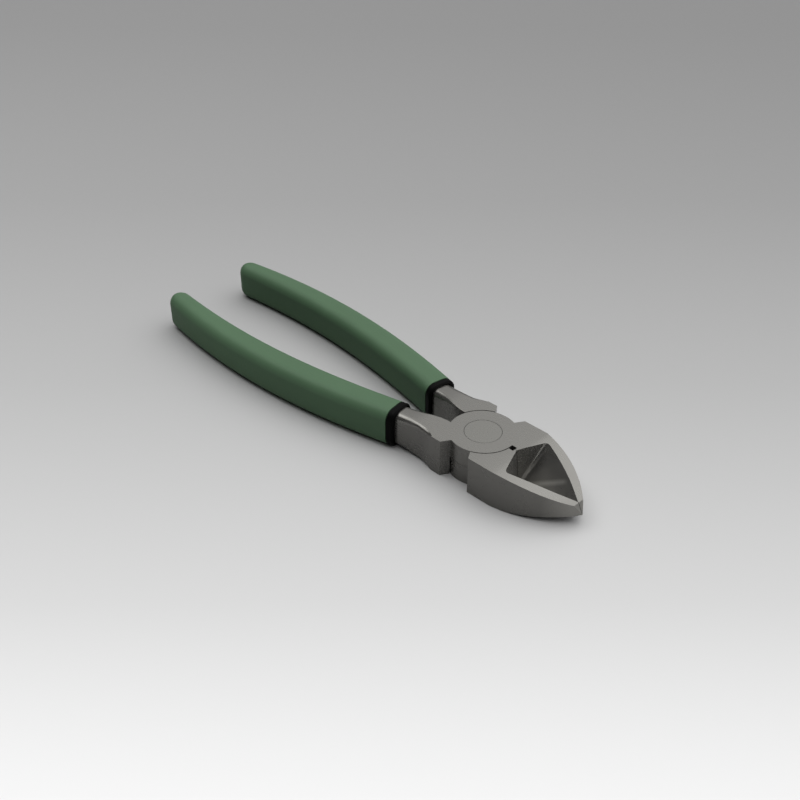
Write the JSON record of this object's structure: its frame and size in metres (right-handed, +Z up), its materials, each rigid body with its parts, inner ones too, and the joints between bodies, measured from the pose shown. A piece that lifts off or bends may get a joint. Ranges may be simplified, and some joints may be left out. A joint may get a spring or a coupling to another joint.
{
  "type": "flush cut pliers",
  "caption": "Hand pliers that cut wire and filament flush: two forged half-lap steel levers on a flush rivet, soft green grips with black end collars.",
  "frame": {"origin": "on the rivet's axis, in the flat underside that the tool lies on", "axes": "+X towards the jaw tip, +Y towards the handle of the lower lever, +Z up through the rivet"},
  "size_m": [0.1636, 0.044, 0.0124],
  "materials": {
    "steel": "satin forged steel",
    "rivet_steel": "satin turned steel",
    "grip": "soft matte green",
    "collar": "matte black"
  },
  "bodies": {
    "upper_lever_body": {"upper_lever": "steel", "pivot_rivet": "rivet_steel", "right_grip": "grip", "right_collar": "collar"},
    "lower_lever_body": {"lower_lever": "steel", "left_grip": "grip", "left_collar": "collar"}
  },
  "joints": [
    {"name": "jaw_pivot", "type": "hinge", "parent": "upper_lever_body", "child": "lower_lever_body", "pos_m": [0, 0, 0.006], "axis": [0, 0, -1], "range_deg": [0, 40]}
  ]
}
